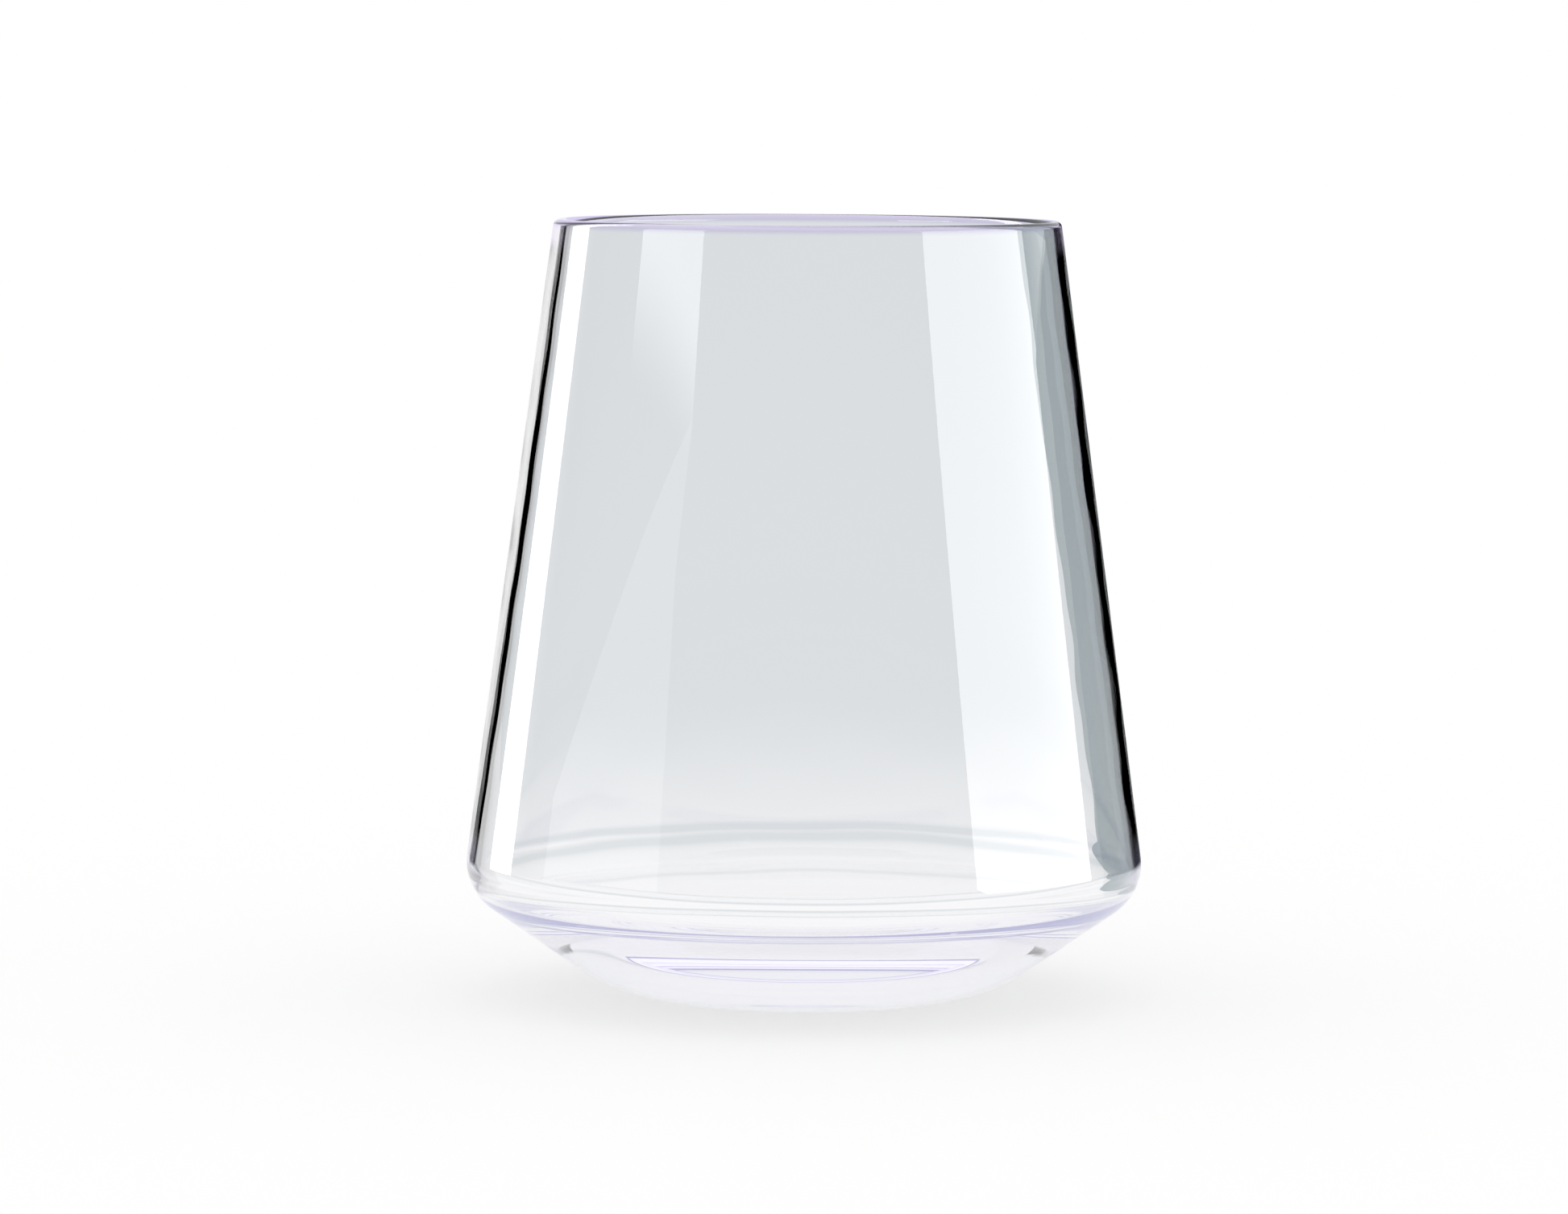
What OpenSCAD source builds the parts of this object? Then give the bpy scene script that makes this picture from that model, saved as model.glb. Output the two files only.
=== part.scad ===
// Stemless wine glass in clear plastic: a thin wall that leans in to a round rim, welded at its widest
// diameter to a thick solid base. Both mouldings are turned about the vertical axis.
// Origin: centre of the flat foot, on the table. +Z is up.

/* [Overall] */
// Height from the table to the top of the rim
glass_h = 109; // [98:0.5:125]
// Widest diameter, at the shoulder
shoulder_d = 95; // [90:0.5:102]
// Outside diameter of the rim
rim_d = 71.2; // [62:0.2:80]
// Diameter of the flat foot
foot_d = 37.4; // [30:0.2:44]

/* [Wall] */
// Wall thickness at the rim, which is fully rounded
rim_wall = 1.9; // [1.2:0.1:2.6]
// Wall thickness where the wall meets the shoulder
shoulder_wall = 1.6; // [1.4:0.1:2.4]

/* [Base] */
// Thickness of the solid base at the middle
floor_h = 13.3; // [11:0.1:16]
// Radius of the rounded shoulder
shoulder_r = 7.6; // [6:0.1:9]
// Depth of the floor below the widest line, as a share of what the rounded shoulder leaves room for
floor_drop_share = 0.83; // [0.65:0.01:0.98]
// Wall thickness at the round of the floor corner, as a share of the wall at the shoulder
corner_wall_share = 0.6; // [0.45:0.05:0.9]
// Radius of the soft turn from the foot into the lower cone, as a share of the largest that fits
foot_turn_share = 0.72; // [0.3:0.01:0.9]

/* [Weld joint] */
// Height of the step above the widest line, where the wall lands on the base
joint_rise = 1.8; // [1.4:0.1:4]
// Height of the spigot that stands up inside the wall
spigot_h = 2.4; // [1:0.1:4]
// Clearance between the spigot and the wall before they are welded
weld_gap = 0.05; // [0.02:0.01:0.1]

/* [Hidden] */
$fn = 72;

// How far a cut runs past what it cuts
overrun = 1;
// Arc radii and heights are rounded to this, so that arcs meet the flat faces exactly
arc_grid = 0.001;
// How far the ends of a straight edge lie inside the arcs it runs into, so that they cross cleanly
line_inset = 0.0002;

function on_grid(v) = round(v / arc_grid) * arc_grid;

// Height of the widest line: the cup stays inside the shoulder arc by the wall at the floor corner
corner_wall = corner_wall_share * shoulder_wall;
cup_reach = shoulder_r - corner_wall;
shoulder_h = floor_h + on_grid(floor_drop_share * cup_reach);

// Centres of the rim and shoulder arcs in the right half of the section, as [radius, height]
rim_r = rim_wall / 2;
rim_c = [rim_d / 2 - rim_r, glass_h - rim_r];
shoulder_c = [shoulder_d / 2 - shoulder_r, shoulder_h];

// Foot arc: the largest one would run from the edge of the foot straight into the shoulder arc
foot_edge = [foot_d / 2, 0];
edge_run = shoulder_c - foot_edge;
foot_turn_max = (edge_run * edge_run - shoulder_r * shoulder_r) / (edge_run.y - shoulder_r) / 2;
foot_turn_r = on_grid(foot_turn_share * foot_turn_max);
foot_c = foot_edge + [0, foot_turn_r];

// Lean of the outer wall from the vertical: the line that touches the shoulder arc and the rim arc
rim_run = rim_c - shoulder_c;
wall_lean = atan2(-rim_run.x, rim_run.y) + asin((shoulder_r - rim_r) / norm(rim_run));
wall_out = [cos(wall_lean), sin(wall_lean)];

// Slope of the lower cone from the horizontal: the line that touches the foot arc and the shoulder arc
foot_run = shoulder_c - foot_c;
cone_slope = atan2(foot_run.y, foot_run.x) + asin((foot_turn_r - shoulder_r) / norm(foot_run));
cone_out = [sin(cone_slope), -cos(cone_slope)];

// Inside of the wall: the line through the foot of the wall that touches the rim arc from within
wall_foot = shoulder_c + (shoulder_r - shoulder_wall) * wall_out;
inner_run = rim_c - wall_foot;
inner_lean = atan2(-inner_run.x, inner_run.y) + asin(rim_r / norm(inner_run));
inner_out = [cos(inner_lean), sin(inner_lean)];
floor_corner = [wall_foot.x + (wall_foot.y - floor_h) * tan(inner_lean), floor_h];

// Round of the floor corner: it touches the floor, the wall and the circle cup_reach about shoulder_c.
// Its centre moves by corner_step for each unit of radius, so the radius is the root of a quadratic.
corner_step = [-(1 + sin(inner_lean)) / cos(inner_lean), 1];
corner_run = floor_corner - shoulder_c;
square_term = corner_step * corner_step - 1;
linear_term = corner_step * corner_run + cup_reach;
constant_term = corner_run * corner_run - cup_reach * cup_reach;
root_term = sqrt(linear_term * linear_term - square_term * constant_term);
floor_round_r = on_grid(-(linear_term + root_term) / square_term);
floor_round_c = floor_corner + floor_round_r * corner_step;

// Step of the weld joint, halfway through the wall
joint_h = shoulder_h + joint_rise;
spigot_top = joint_h + spigot_h;

// Radius halfway through the wall at height z
function mid_wall(z) =
    shoulder_c.x + (shoulder_r - shoulder_wall / 2) * wall_out.x
    - (z - shoulder_c.y - (shoulder_r - shoulder_wall / 2) * wall_out.y) * tan(wall_lean);

// Where a straight edge that faces out ends at the arc of radius r about c
function edge_end(c, r, out) = c + (r - line_inset) * out;

// Right half of the outline that shows from outside, filled in to the axis
module outside_section() {
    polygon([
        [0, 0], foot_edge, edge_end(foot_c, foot_turn_r, cone_out),
        edge_end(shoulder_c, shoulder_r, cone_out), edge_end(shoulder_c, shoulder_r, wall_out),
        edge_end(rim_c, rim_r, wall_out), rim_c, [0, rim_c.y]
    ]);
    translate(shoulder_c) circle(shoulder_r);
    intersection() {
        translate(foot_c) circle(foot_turn_r);
        polygon([foot_c, foot_edge - [0, overrun], [shoulder_d, -overrun], shoulder_c + foot_run]);
    }
}

// Right half of the space inside the cup, run out past the rim
module cup_section() {
    polygon([
        [-overrun, floor_h], [floor_round_c.x, floor_h],
        edge_end(floor_round_c, floor_round_r, inner_out), edge_end(rim_c, rim_r, -inner_out), rim_c,
        [rim_c.x, glass_h + overrun], [-overrun, glass_h + overrun]
    ]);
    translate(floor_round_c) circle(floor_round_r);
}

// Right half of the section through the whole glass, with both pieces joined
module glass_section() {
    difference() {
        outside_section();
        cup_section();
    }
    translate(rim_c) circle(rim_r);
}

// Everything below the joint: the base up to the step, and the spigot inside the wall, grown by gap
module below_joint(gap) {
    polygon([
        [-overrun, -overrun], [shoulder_d, -overrun], [shoulder_d, joint_h],
        [mid_wall(joint_h) + gap, joint_h], [mid_wall(spigot_top) + gap, spigot_top + gap],
        [-overrun, spigot_top + gap]
    ]);
}

// Wall and rim in one moulding, open at both ends, with the socket for the spigot at its foot
module bowl() {
    color([0.86, 0.88, 0.92, 0.4])
        rotate_extrude()
            difference() {
                glass_section();
                below_joint(weld_gap);
            }
}

// Thick solid base with the floor of the cup, the round of its corner and the spigot
module base() {
    color([0.80, 0.82, 0.93, 0.55])
        rotate_extrude()
            intersection() {
                glass_section();
                below_joint(0);
            }
}

bowl();
base();
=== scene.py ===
"""Stemless wine glass in clear plastic, on a white table in soft studio light."""
import math

import bpy
import numpy as np
from mathutils import Matrix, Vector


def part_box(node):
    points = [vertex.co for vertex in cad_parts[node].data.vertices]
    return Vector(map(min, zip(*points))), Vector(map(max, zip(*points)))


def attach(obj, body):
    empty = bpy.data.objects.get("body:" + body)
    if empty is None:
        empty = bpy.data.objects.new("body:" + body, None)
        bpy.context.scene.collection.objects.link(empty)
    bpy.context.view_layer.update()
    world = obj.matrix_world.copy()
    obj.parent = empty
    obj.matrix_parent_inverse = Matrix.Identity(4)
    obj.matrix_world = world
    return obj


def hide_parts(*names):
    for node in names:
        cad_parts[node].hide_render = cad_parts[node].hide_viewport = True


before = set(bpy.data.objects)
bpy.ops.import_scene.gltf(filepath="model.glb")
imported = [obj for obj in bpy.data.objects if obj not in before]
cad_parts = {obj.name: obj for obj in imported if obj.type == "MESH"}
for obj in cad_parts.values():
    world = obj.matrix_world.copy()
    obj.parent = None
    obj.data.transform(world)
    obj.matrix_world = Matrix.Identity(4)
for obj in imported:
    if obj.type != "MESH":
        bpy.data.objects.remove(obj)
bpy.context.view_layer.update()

MM = 0.001

# Sizes
base_low, base_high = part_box("base")
bowl_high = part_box("bowl")[1]
glass_h = bowl_high.z
shoulder_d = base_high.x - base_low.x
rim_d = 71.2 * MM
foot_d = 37.4 * MM
rim_wall = 1.9 * MM
shoulder_wall = 1.6 * MM
floor_h = 13.3 * MM
shoulder_r = 7.6 * MM
FLOOR_DROP_SHARE = 0.83    # depth of the floor below the widest line, of what the shoulder leaves room for
CORNER_WALL_SHARE = 0.6    # wall at the round of the floor corner, of the wall at the shoulder
FOOT_TURN_SHARE = 0.72     # radius of the soft turn above the foot, of the largest that fits
BOX_INSET = 0.002 * MM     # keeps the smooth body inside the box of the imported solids
CORE_SHIFT = 0.35 * MM     # how far right of centre the cup sits, which makes the right wall thinner

# Waves that moulding leaves in the inside of the wall: their height, and for each its share of that height,
# how often it goes round, how far it turns for each metre up, and where it starts, both in radians
RIPPLE = 0.018 * MM
RIPPLE_WAVES = ((0.5, 3, 140, 0.0), (0.3, 7, -290, 1.3), (0.2, 13, 610, 0.4))

# Steps of the mesh along each stretch of the section, and around the glass
FOOT_STEPS = 6
FOOT_TURN_STEPS = 24
CONE_STEPS = 8
SHOULDER_STEPS = 32
WALL_STEPS = 60
RIM_STEPS = 36
CORNER_STEPS = 32
FLOOR_STEPS = 12
STEPS_ROUND = 288

# Helpers


def polar(angle):
    return np.array([math.cos(angle), math.sin(angle)])


def link(obj):
    bpy.context.scene.collection.objects.link(obj)
    return obj


# Section of the glass: centres and radii of its arcs, each tangent to its neighbours
shoulder_outer = shoulder_d / 2 - BOX_INSET
cup_reach = shoulder_r - CORNER_WALL_SHARE * shoulder_wall
shoulder_h = floor_h + FLOOR_DROP_SHARE * cup_reach
rim_r = rim_wall / 2
rim_c = np.array([rim_d / 2 - rim_r, glass_h - rim_r - BOX_INSET])
shoulder_c = np.array([shoulder_outer - shoulder_r, shoulder_h])
foot_edge = np.array([foot_d / 2, 0.0])
edge_run = shoulder_c - foot_edge
foot_turn_r = FOOT_TURN_SHARE * (edge_run @ edge_run - shoulder_r ** 2) / (edge_run[1] - shoulder_r) / 2
foot_c = foot_edge + [0, foot_turn_r]
rim_run = rim_c - shoulder_c
wall_lean = math.atan2(-rim_run[0], rim_run[1]) + math.asin((shoulder_r - rim_r) / np.hypot(*rim_run))
foot_run = shoulder_c - foot_c
cone_turn = math.asin((foot_turn_r - shoulder_r) / np.hypot(*foot_run))
cone_slope = math.atan2(foot_run[1], foot_run[0]) + cone_turn
wall_foot = shoulder_c + (shoulder_r - shoulder_wall) * polar(wall_lean)
inner_run = rim_c - wall_foot
inner_lean = math.atan2(-inner_run[0], inner_run[1]) + math.asin(rim_r / np.hypot(*inner_run))

# The cup's rounded corner touches the floor, the wall and an arc inside the shoulder
floor_corner = np.array([wall_foot[0] + (wall_foot[1] - floor_h) * math.tan(inner_lean), floor_h])
corner_step = np.array([-(1 + math.sin(inner_lean)) / math.cos(inner_lean), 1.0])
corner_run = floor_corner - shoulder_c
square_term = corner_step @ corner_step - 1
linear_term = corner_step @ corner_run + cup_reach
constant_term = corner_run @ corner_run - cup_reach ** 2
floor_round_r = -(linear_term + math.sqrt(linear_term ** 2 - square_term * constant_term)) / square_term
floor_round_c = floor_corner + floor_round_r * corner_step


def arc(centre, radius, start, end, steps, inside=False):
    """Points on an arc with their normals, which point out of the plastic."""
    rows = []
    for angle in np.linspace(start, end, steps + 1):
        out = polar(angle)
        rows.append((*(centre + radius * out), *(-out if inside else out)))
    return rows


def between(a, b, steps):
    """Points between the ends of a straight edge, without the ends."""
    a, b = np.array(a), np.array(b)
    return [tuple(a + (b - a) * k / steps) for k in range(1, steps)]


DOWN = -math.pi / 2
foot_arc = arc(foot_c, foot_turn_r, DOWN, DOWN + cone_slope, FOOT_TURN_STEPS)
shoulder_arc = arc(shoulder_c, shoulder_r, DOWN + cone_slope, wall_lean, SHOULDER_STEPS)
rim_arc = arc(rim_c, rim_r, wall_lean, math.pi + inner_lean, RIM_STEPS)
corner_arc = arc(floor_round_c, floor_round_r, inner_lean, DOWN, CORNER_STEPS, inside=True)
foot_centre = (0.0, 0.0, 0.0, -1.0)
floor_centre = (0.0, floor_h, 0.0, 1.0)
section = [foot_centre] + between(foot_centre, foot_arc[0], FOOT_STEPS) + foot_arc
section += between(foot_arc[-1], shoulder_arc[0], CONE_STEPS) + shoulder_arc
section += between(shoulder_arc[-1], rim_arc[0], WALL_STEPS)
outside_rows = len(section)
section += rim_arc
cup_from = len(section)
section += between(rim_arc[-1], corner_arc[0], WALL_STEPS) + corner_arc
section += between(corner_arc[-1], floor_centre, FLOOR_STEPS) + [floor_centre]
over_rim = (1 - np.cos(np.linspace(0, math.pi, len(rim_arc)))) / 2
cup_shares = np.concatenate([np.zeros(outside_rows), over_rim, np.ones(len(section) - cup_from)])


def ripple(angle, z):
    """Long shallow waves, -1 to 1, over the inside of the wall."""
    waves = [share * np.sin(count * angle + twist * z + start) for share, count, twist, start in RIPPLE_WAVES]
    return sum(waves)


def turned_body(name, rows, shares, steps_round):
    """A body turned about the vertical axis from [radius, height, normal radius, normal height] rows.
    shares says how much each row takes of the cup's shift to the right and of its ripple."""
    angle = np.linspace(0, 2 * math.pi, steps_round, endpoint=False)
    c, s = np.cos(angle), np.sin(angle)
    verts, normals, rings = [], [], []
    for (r, z, nr, nz), share in zip(rows, shares):
        first = len(verts)
        shift = CORE_SHIFT * share
        if r == 0:
            verts.append((shift, 0, z))
            normals.append((0, 0, nz))
            rings.append([first])
        else:
            waved = r + RIPPLE * share * abs(nr) * ripple(angle, z)
            verts += list(zip(shift + waved * c, waved * s, np.full(steps_round, z)))
            rings.append(list(range(first, first + steps_round)))
            normals += list(zip(nr * c, nr * s, np.full(steps_round, nz)))
    faces = []
    for low, high in zip(rings, rings[1:]):
        for k in range(steps_round):
            n = (k + 1) % steps_round
            if len(low) == 1:
                faces.append((low[0], high[n], high[k]))
            elif len(high) == 1:
                faces.append((low[k], low[n], high[0]))
            else:
                faces.append((low[k], low[n], high[n], high[k]))
    mesh = bpy.data.meshes.new(name)
    mesh.from_pydata(verts, [], faces)
    mesh.validate()
    mesh.shade_smooth()
    own = np.array([vertex.normal for vertex in mesh.vertices])
    waved_share = np.concatenate([np.full(len(ring), share) for ring, share in zip(rings, shares)])[:, None]
    mesh.normals_split_custom_set_from_vertices(waved_share * own + (1 - waved_share) * np.array(normals))
    mesh.update()
    return link(bpy.data.objects.new(name, mesh))


# Materials
MIX_A, MIX_B, MIX_RESULT = 6, 7, 2     # the colour sockets of a Mix node
WHITE = (1, 1, 1, 1)


def new_material(name):
    mat = bpy.data.materials.new(name)
    mat.use_nodes = True
    mat.node_tree.nodes.clear()
    return mat, mat.node_tree


def ramp(tree, value, start, end, kind="SMOOTHSTEP"):
    """0 where value is at start, 1 where it is at end, and a ramp between. start may be above end."""
    node = tree.nodes.new("ShaderNodeMapRange")
    node.interpolation_type = kind
    node.inputs["From Min"].default_value = min(start, end)
    node.inputs["From Max"].default_value = max(start, end)
    node.inputs["To Min"].default_value = float(start > end)
    node.inputs["To Max"].default_value = float(start < end)
    tree.links.new(value, node.inputs["Value"])
    return node.outputs["Result"]


def mix_colours(tree, factor, a, b):
    """a where factor is 0 and b where it is 1. Both are colours or the outputs of other nodes."""
    node = tree.nodes.new("ShaderNodeMix")
    node.data_type = "RGBA"
    tree.links.new(factor, node.inputs["Factor"])
    for socket, value in ((node.inputs[MIX_A], a), (node.inputs[MIX_B], b)):
        if isinstance(value, tuple):
            socket.default_value = value
        else:
            tree.links.new(value, socket)
    return node.outputs[MIX_RESULT]


def mix_shaders(tree, factor, a, b):
    """The shader a where factor is 0 and b where it is 1."""
    node = tree.nodes.new("ShaderNodeMixShader")
    tree.links.new(factor, node.inputs["Fac"])
    tree.links.new(a, node.inputs[1])
    tree.links.new(b, node.inputs[2])
    return node.outputs["Shader"]


def work_out(tree, operation, a, b):
    """One step of arithmetic. a and b are numbers or the outputs of other nodes."""
    node = tree.nodes.new("ShaderNodeMath")
    node.operation = operation
    for socket, value in zip(node.inputs, (a, b)):
        if isinstance(value, (int, float)):
            socket.default_value = value
        else:
            tree.links.new(value, socket)
    return node.outputs["Value"]


REFRACTION = 1.54
TONER = (0.05, 0.0, 0.66, 1)   # the toner in the plastic absorbs red and green, and blue much less
TONER_DENSITY = 0.7            # how strongly, for each metre of plastic
RIM_TINT_FROM = 1.5 * MM       # how far below the top the toner starts to show in the thick rim
RIM_TINT_FULL = 0.3 * MM       # and where it shows in full
RIM_TINT = (0.72, 0.64, 0.90, 1)

# Light that was mirrored inside the plastic more often than MIRRORINGS is cut off. It would be black, so the
# plastic gives off light in its place: in the base, in the rim, and where light runs along the wall.
MIRRORINGS = 4.5
BASE_TRAPPED = (0.50, 0.50, 0.70, 1)
WALL_TRAPPED = (1.05, 1.05, 1.08, 1)
RIM_TRAPPED = (0.82, 0.70, 1.0, 1)
BASE_TRAPS = (shoulder_h + 5 * MM, shoulder_h + 1 * MM)    # heights where the base starts and is full
RIM_TRAPS = (glass_h - 5.0 * MM, glass_h - 2.5 * MM)       # heights where the rim starts and is full
UPPER_WALL = (50 * MM, 65 * MM)        # over these heights the wall turns from its own colour to the rim's
WALL_STEP = (3.15 * MM, 3.6 * MM)      # light that runs along the wall goes further than this in one step


def clear_plastic():
    mat, tree = new_material("clear_plastic")
    out = tree.nodes.new("ShaderNodeOutputMaterial")
    skin = tree.nodes.new("ShaderNodeBsdfPrincipled")
    skin.inputs["Roughness"].default_value = 0.0
    skin.inputs["IOR"].default_value = REFRACTION
    skin.inputs["Transmission Weight"].default_value = 1.0
    place = tree.nodes.new("ShaderNodeTexCoord")
    split = tree.nodes.new("ShaderNodeSeparateXYZ")
    tree.links.new(place.outputs["Object"], split.inputs[0])
    z = split.outputs["Z"]
    near_top = ramp(tree, z, glass_h - RIM_TINT_FROM, glass_h - RIM_TINT_FULL)
    tree.links.new(mix_colours(tree, near_top, WHITE, RIM_TINT), skin.inputs["Base Color"])
    path = tree.nodes.new("ShaderNodeLightPath")
    trapped = work_out(tree, "GREATER_THAN", path.outputs["Glossy Depth"], MIRRORINGS)
    low_down = ramp(tree, z, *BASE_TRAPS)
    high_up = ramp(tree, z, *RIM_TRAPS)
    along_wall = ramp(tree, path.outputs["Ray Length"], *WALL_STEP)
    lit = work_out(tree, "MAXIMUM", low_down, work_out(tree, "MAXIMUM", high_up, along_wall))
    tree.links.new(work_out(tree, "MULTIPLY", trapped, lit), skin.inputs["Emission Strength"])
    wall_glow = mix_colours(tree, ramp(tree, z, *UPPER_WALL), WALL_TRAPPED, RIM_TRAPPED)
    tree.links.new(mix_colours(tree, low_down, wall_glow, BASE_TRAPPED), skin.inputs["Emission Color"])
    mat.cycles.emission_sampling = "NONE"
    tint = tree.nodes.new("ShaderNodeVolumeAbsorption")
    tint.inputs["Color"].default_value = TONER
    tint.inputs["Density"].default_value = TONER_DENSITY
    tree.links.new(skin.outputs["BSDF"], out.inputs["Surface"])
    tree.links.new(tint.outputs["Volume"], out.inputs["Volume"])
    return mat


# The glass
body = turned_body("clear_body", section, cup_shares, STEPS_ROUND)
body.data.materials.append(clear_plastic())
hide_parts("bowl", "base")
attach(body, "root")

# Studio
TABLE_R = 3.0
TABLE_SIDES = 64
TABLE_GAP = 0.1 * MM                     # air between the foot and the table
TABLE_GLOW = 0.57                        # light that the table gives off by itself, to read as white
TABLE_WHITE = (0.5, 0.5, 0.5, 1)
TABLE_PAINTED_POOL = (0.94, 0.945, 0.955, 1)     # painted pool of light: the table as seen through the plastic, painted brighter close by the glass
BACKDROP = (0.715, 0.745, 0.768, 1)      # the far table and the backdrop as seen through the plastic
SKY = (0.95, 0.95, 0.96, 1)              # the backdrop above its foot
PAINTED_POOL_FADE = (0.03, 0.5)                 # how far from the glass the painted pool of light ends and BACKDROP is full


def table_material():
    mat, tree = new_material("white_table")
    out = tree.nodes.new("ShaderNodeOutputMaterial")
    path = tree.nodes.new("ShaderNodeLightPath")
    add = tree.nodes.new("ShaderNodeAddShader")
    matt = tree.nodes.new("ShaderNodeBsdfDiffuse")
    matt.inputs["Color"].default_value = TABLE_WHITE
    glow = tree.nodes.new("ShaderNodeEmission")
    glow.inputs["Strength"].default_value = TABLE_GLOW
    tree.links.new(matt.outputs["BSDF"], add.inputs[0])
    tree.links.new(glow.outputs["Emission"], add.inputs[1])
    place = tree.nodes.new("ShaderNodeNewGeometry")
    far = tree.nodes.new("ShaderNodeVectorMath")
    far.operation = "LENGTH"
    tree.links.new(place.outputs["Position"], far.inputs[0])
    through = tree.nodes.new("ShaderNodeEmission")
    # Painted pool of light: seen through the plastic, the table is painted brighter close to the glass and
    # fades to BACKDROP further out
    fade = ramp(tree, far.outputs["Value"], *PAINTED_POOL_FADE)
    tree.links.new(mix_colours(tree, fade, TABLE_PAINTED_POOL, BACKDROP), through.inputs["Color"])
    seen_through = path.outputs["Is Transmission Ray"]
    surface = mix_shaders(tree, seen_through, add.outputs["Shader"], through.outputs["Emission"])
    tree.links.new(surface, out.inputs["Surface"])
    return mat


def card_material(name, strength, tint, fade, path_tests):
    mat, tree = new_material(name)
    out = tree.nodes.new("ShaderNodeOutputMaterial")
    glow = tree.nodes.new("ShaderNodeEmission")
    glow.inputs["Color"].default_value = tint
    glow.inputs["Strength"].default_value = strength
    surface = glow.outputs["Emission"]
    if fade or path_tests:
        place = tree.nodes.new("ShaderNodeNewGeometry")
        split = tree.nodes.new("ShaderNodeSeparateXYZ")
        tree.links.new(place.outputs["Position"], split.inputs[0])
        passed = ramp(tree, split.outputs["Z"], *fade) if fade else 1
        path = tree.nodes.new("ShaderNodeLightPath")
        for depth, operation, limit in path_tests:
            passed = work_out(tree, "MULTIPLY", passed, work_out(tree, operation, path.outputs[depth], limit))
        clear = tree.nodes.new("ShaderNodeBsdfTransparent")
        surface = mix_shaders(tree, passed, clear.outputs["BSDF"], surface)
    tree.links.new(surface, out.inputs["Surface"])
    return mat


def flat_shape(name, corners, material):
    mesh = bpy.data.meshes.new(name)
    mesh.from_pydata(corners, [], [tuple(range(len(corners)))])
    mesh.materials.append(material)
    return link(bpy.data.objects.new(name, mesh))


def card(name, corners, strength, seen_by, tint=WHITE, fade=None, path_tests=()):
    """An upright card with its corners in metres. seen_by is "through" for light that comes through the
    plastic, or "mirrored" for light mirrored in it. fade is the height where the card starts and where it is
    full. path_tests are what Light Path has to say for the card to be there."""
    obj = flat_shape(name, corners, card_material(name, strength, tint, fade, path_tests))
    obj.visible_camera = False
    obj.visible_diffuse = False
    obj.visible_shadow = False
    obj.visible_transmission = seen_by == "through"
    obj.visible_glossy = seen_by == "mirrored"


table_turns = np.linspace(0, 2 * math.pi, TABLE_SIDES, endpoint=False)
table_edge = [(TABLE_R * math.cos(turn), TABLE_R * math.sin(turn), -TABLE_GAP) for turn in table_turns]
table = flat_shape("table", table_edge, table_material())

# Cards close behind the glass that lean as its wall does. Light that bends round inside the wall passes two
# faces of the plastic and is mirrored in between. Light that comes straight through passes four. Some of the
# light that bends round leaves only after a second round, a few degrees nearer to straight on. Light Path
# counts mirrorings as Glossy Depth and faces passed as Transmission Depth, both in whole numbers.
BENT_ROUND = (("Glossy Depth", "GREATER_THAN", 0.5), ("Transmission Depth", "LESS_THAN", 3.5))
ROUND_AGAIN = (("Glossy Depth", "GREATER_THAN", 2.5), ("Transmission Depth", "LESS_THAN", 3.5))
STRAIGHT = (("Glossy Depth", "LESS_THAN", 0.5), ("Transmission Depth", "GREATER_THAN", 3.5))
FLAG_Y = 0.100
PANEL_Y = 0.115
CARD_TOP = 0.120
FLAG_FADE = (0.004, 0.010)     # heights where a flag starts and where it is full
LEFT = -1
RIGHT = 1


def leaning_card(name, side, y, rows, strength, seen_by, **look):
    """rows holds, from the bottom up, a height and the two angles in degrees at which light that leaves the
    edge of the wall meets the card."""
    def corner(z, angle):
        edge = shoulder_d / 2 - (z - shoulder_h) * math.tan(wall_lean)
        return (side * (edge + y * math.tan(math.radians(angle))), y, z)

    corners = [corner(z, near) for z, near, far in rows] + [corner(z, far) for z, near, far in rows[::-1]]
    card(name, corners, strength, seen_by, **look)


def flag(name, side, rows, seen_by, **look):
    leaning_card(name, side, FLAG_Y, rows, 0.0, seen_by, fade=FLAG_FADE, **look)


# Left: a white panel, a thin black flag in front of its far edge, and a grey panel beyond. The flag is the
# dark line beside the left edge, which light coming through and light mirrored show at different angles.
LINE_THROUGH = [(0, 12, 23), (0.034, 19.5, 30), (0.056, 24.5, 32.5), (0.079, 26, 34.5), (CARD_TOP, 24, 34)]
LINE_MIRRORED = [(0, 15.5, 27.5), (0.035, 25.5, 36.5), (0.058, 30.5, 40), (0.080, 33, 43),
                 (CARD_TOP, 31, 42)]
LEFT_WHITE = 0.92
LEFT_WHITE_FROM = -10
LEFT_GREY = 0.5
LEFT_GREY_TO = 50
AGAIN_NEAR = 11            # how much nearer to straight on the line's two edges are after a second round
AGAIN_FAR = 4
line_again = [(z, near - AGAIN_NEAR, far - AGAIN_FAR) for z, near, far in LINE_THROUGH]
white_through = [(z, LEFT_WHITE_FROM, (near + far) / 2) for z, near, far in LINE_THROUGH]
white_mirrored = [(z, LEFT_WHITE_FROM, (near + far) / 2) for z, near, far in LINE_MIRRORED]
left_grey = [(z, (near + far) / 2, LEFT_GREY_TO) for z, near, far in LINE_THROUGH]
flag("flag_left", LEFT, LINE_THROUGH, "through", path_tests=BENT_ROUND)
flag("flag_left_mirrored", LEFT, LINE_MIRRORED, "mirrored")
leaning_card("panel_left", LEFT, PANEL_Y, white_through, LEFT_WHITE, "through", path_tests=BENT_ROUND)
leaning_card("panel_left_mirrored", LEFT, PANEL_Y, white_mirrored, LEFT_WHITE, "mirrored")
leaning_card("panel_left_grey", LEFT, PANEL_Y, left_grey, LEFT_GREY, "through", path_tests=BENT_ROUND)
flag("flag_left_again", LEFT, line_again, "through", path_tests=ROUND_AGAIN)

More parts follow.
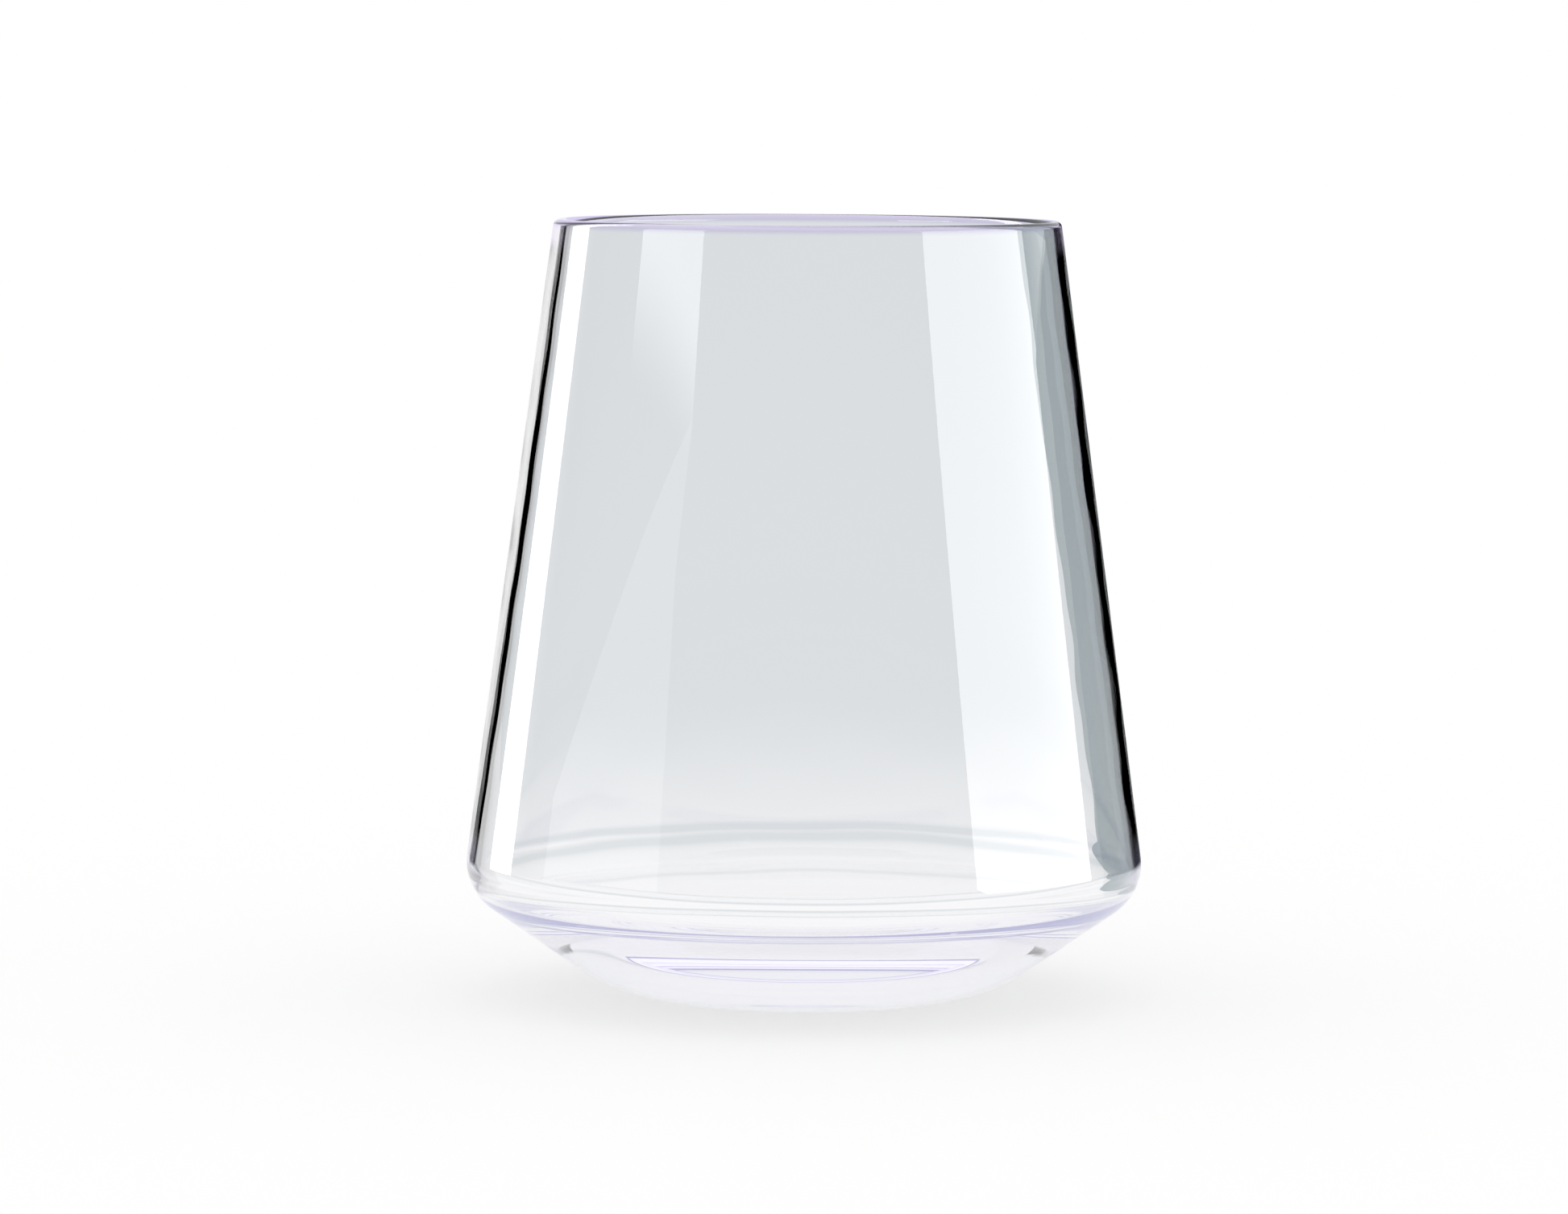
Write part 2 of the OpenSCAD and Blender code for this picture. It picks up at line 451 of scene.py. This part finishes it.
# Right: one wide black flag, a grey panel behind it, and panels of other greys for light that comes straight
# through the edge of the wall
GREY_BLUE = (0.76, 0.93, 1, 1)
BAND_THROUGH = [(0, 10, 30), (CARD_TOP, 11, 32)]
BAND_MIRRORED = [(0, 6, 70), (CARD_TOP, 6, 70)]
RIGHT_GREY = 0.31
RIGHT_GREY_SPAN = (20, 60)
PANEL_FADE = (0.0, 0.010)
RIGHT_PANELS = (
    ("panel_right_grey", (2.3, 7.5), 0.39),
    ("panel_right_pale", (7.5, 11), 0.48),
    ("panel_right_dim", (11, 25), 0.24),
)


def right_panel(name, span, strength, **look):
    """A grey panel between the same two angles from the table up."""
    rows = [(0, *span), (CARD_TOP, *span)]
    leaning_card(name, RIGHT, PANEL_Y, rows, strength, "through", tint=GREY_BLUE, **look)


flag("flag_right", RIGHT, BAND_THROUGH, "through", path_tests=BENT_ROUND)
right_panel("panel_right_bent", RIGHT_GREY_SPAN, RIGHT_GREY, path_tests=BENT_ROUND)
flag("flag_right_mirrored", RIGHT, BAND_MIRRORED, "mirrored")
for name, span, strength in RIGHT_PANELS:
    right_panel(name, span, strength, fade=PANEL_FADE, path_tests=STRAIGHT)

# Cards around the glass: what its wall mirrors. Each has its strength, its fade, and for each corner the
# degrees to the right of straight behind the glass and the height.
CARD_R = 0.5
MIRRORED_CARDS = (
    ("strip_left", 4.5, None, ((-67, 0), (-51, 0), (-51, 0.6), (-67, 0.6))),
    ("softbox_right", 3.7, None, ((62, 0), (119, 0), (133, 0.3), (77, 0.3))),
    ("window_left", 3.3, (0.16, 0.195), ((-134, 0.16), (-103, 0.16), (-103, 0.3), (-134, 0.3))),
    ("glint_left", 0.8, None,
     ((-134, 0.172), (-115, 0.135), (-86, 0.06), (-84, 0), (-133, 0), (-131, 0.139))),
)


def around(angle, z):
    turn = math.radians(angle)
    return (CARD_R * math.sin(turn), CARD_R * math.cos(turn), z)


for name, strength, fade, places in MIRRORED_CARDS:
    card(name, [around(angle, z) for angle, z in places], strength, "mirrored", fade=fade)

# World: white for the camera, a slightly darker backdrop through the plastic, a dim room in reflections with
# the backdrop behind, and soft light from all round
AMBIENT = (0.86, 0.86, 0.86, 1)
ROOM = (0.03, 0.03, 0.03, 1)
SKY_FADE = (0.0, 0.06)         # how far a direction points up where the backdrop turns pale
BEHIND_FADE = (0.35, 0.55)     # how far a direction points back where the room ends and the backdrop is full
world = bpy.data.worlds.new("studio")
bpy.context.scene.world = world
world.use_nodes = True
tree = world.node_tree
tree.nodes.clear()
out = tree.nodes.new("ShaderNodeOutputWorld")
back = tree.nodes.new("ShaderNodeBackground")
path = tree.nodes.new("ShaderNodeLightPath")
coords = tree.nodes.new("ShaderNodeTexCoord")
split = tree.nodes.new("ShaderNodeSeparateXYZ")
tree.links.new(coords.outputs["Generated"], split.inputs[0])
wall_behind = mix_colours(tree, ramp(tree, split.outputs["Z"], *SKY_FADE, kind="LINEAR"), BACKDROP, SKY)
room = mix_colours(tree, ramp(tree, split.outputs["Y"], *BEHIND_FADE, kind="LINEAR"), ROOM, BACKDROP)
seen = mix_colours(tree, path.outputs["Is Glossy Ray"], AMBIENT, room)
seen = mix_colours(tree, path.outputs["Is Transmission Ray"], seen, wall_behind)
seen = mix_colours(tree, path.outputs["Is Camera Ray"], seen, WHITE)
tree.links.new(seen, back.inputs["Color"])
tree.links.new(back.outputs["Background"], out.inputs["Surface"])

# Camera
CAMERA_PLACE = (0, -0.950, 0.1317)
CAMERA_LENS = 155.7
CAMERA_SENSOR = 36
PITCH, YAW, ROLL = (math.radians(v) for v in (-4.639, 0.181, 0.329))
cam_data = bpy.data.cameras.new("camera")
cam_data.lens = CAMERA_LENS
cam_data.sensor_width = CAMERA_SENSOR
cam = link(bpy.data.objects.new("camera", cam_data))
pan = Matrix.Rotation(YAW, 4, "Z")
tilt = Matrix.Rotation(math.pi / 2 + PITCH, 4, "X")
roll = Matrix.Rotation(ROLL, 4, "Z")
cam.matrix_world = Matrix.Translation(CAMERA_PLACE) @ pan @ tilt @ roll
bpy.context.scene.camera = cam

bpy.context.scene.view_settings.view_transform = "Standard"
